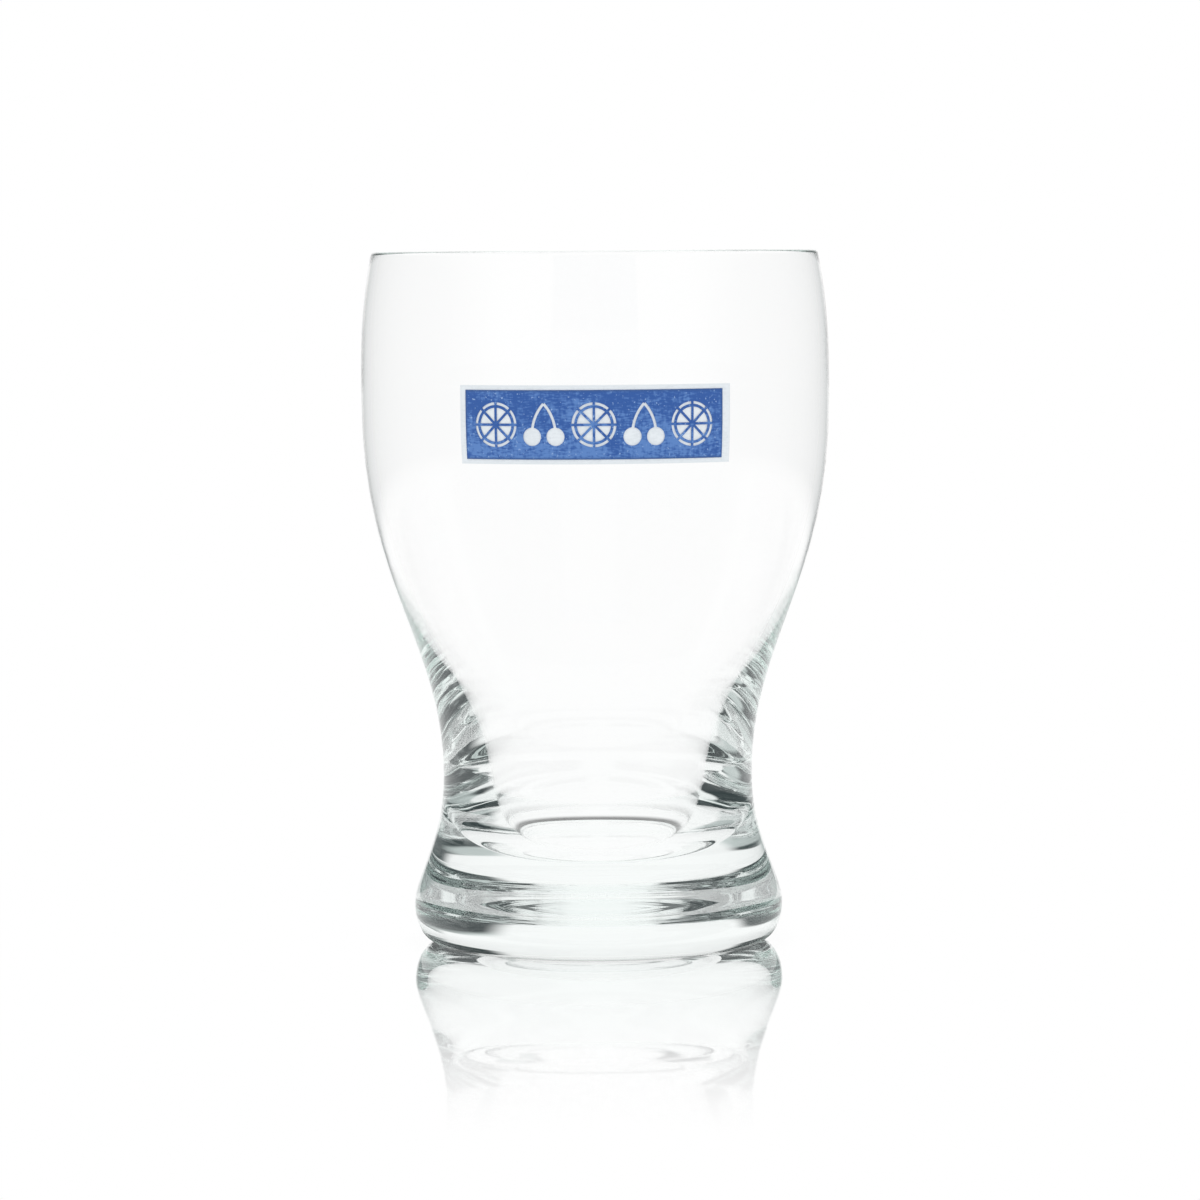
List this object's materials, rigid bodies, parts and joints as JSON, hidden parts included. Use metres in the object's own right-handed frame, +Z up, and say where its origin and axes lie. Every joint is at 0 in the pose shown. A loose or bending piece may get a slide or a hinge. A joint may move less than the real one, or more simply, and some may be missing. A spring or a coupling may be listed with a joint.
{
  "type": "juice glass",
  "caption": "Small clear juice glass with a bellied bowl, drawn-in waist, heavy solid foot and a printed blue panel on the front of the bowl.",
  "frame": {"origin": "centre of the foot, on the surface that the glass stands on", "axes": "+Z up along the axis of the glass; the printed panel faces -Y"},
  "size_m": [0.0716, 0.0719, 0.106],
  "materials": {
    "clear_glass": "clear, fire polished",
    "white_enamel": "satin fired screen print",
    "blue_enamel": "satin fired screen print"
  },
  "bodies": {
    "root": {"glass_body": "clear_glass", "print_white_ground": "white_enamel", "print_blue_panel": "blue_enamel"}
  },
  "joints": []
}
